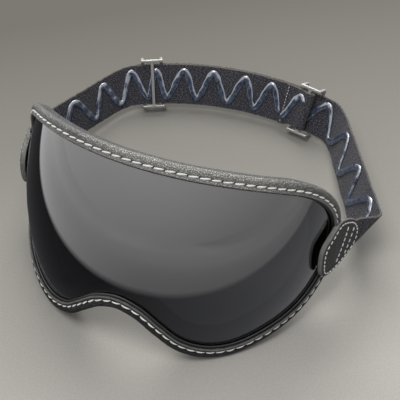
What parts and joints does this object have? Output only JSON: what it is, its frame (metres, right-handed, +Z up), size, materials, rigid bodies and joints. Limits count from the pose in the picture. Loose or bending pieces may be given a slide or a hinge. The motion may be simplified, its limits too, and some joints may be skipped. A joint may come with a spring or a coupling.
{
  "type": "motocross goggles",
  "caption": "Bubble-lens riding goggles with leather-bound smoke lens, foam face seal, leather side tabs and an adjustable elastic head strap with metal sliders.",
  "frame": {"origin": "on the ground, under the middle of the object's bounding box", "axes": "+Z up with the goggles lying on the lower rim and the strap, -Y the way the lens faces, +X to the right as seen from the lens side"},
  "size_m": [0.23, 0.2262, 0.1206],
  "materials": {
    "lens_smoke": "clear gloss, smoke tint",
    "frame_rubber": "matt",
    "leather_black": "fine grain, semi-gloss",
    "seal_foam": "open-cell foam",
    "seal_fleece": "short nap",
    "strap_elastic": "ribbed woven elastic, heathered",
    "grip_silicone": "glossy, translucent",
    "slider_metal": "nickel plated",
    "thread_white": "twisted thread"
  },
  "bodies": {
    "goggles": {"lens": "lens_smoke", "lens_frame": "frame_rubber", "binding_top": "leather_black", "binding_bottom": "leather_black", "face_foam": "seal_foam", "face_fleece": "seal_fleece", "tab_left": "leather_black", "tab_right": "leather_black", "tab_backing_left": "leather_black", "tab_backing_right": "leather_black", "strap_left": "strap_elastic", "strap_right": "strap_elastic", "grip_bead_left": "grip_silicone", "grip_bead_right": "grip_silicone"},
    "left_slider": {"slider_left": "slider_metal"},
    "right_slider": {"slider_right": "slider_metal", "strap_left_sewn_end": "strap_elastic", "grip_bead_sewn_end": "grip_silicone"}
  },
  "joints": [
    {"name": "left_slider_travel", "type": "hinge", "parent": "goggles", "child": "left_slider", "pos_m": [0.00669, -0.06682, 0], "axis": [0, 0, 1], "range_deg": [-27, 0]},
    {"name": "right_slider_travel", "type": "hinge", "parent": "goggles", "child": "right_slider", "pos_m": [0.00669, -0.06682, 0], "axis": [0, 0, 1], "range_deg": [-2.4, 0]}
  ]
}
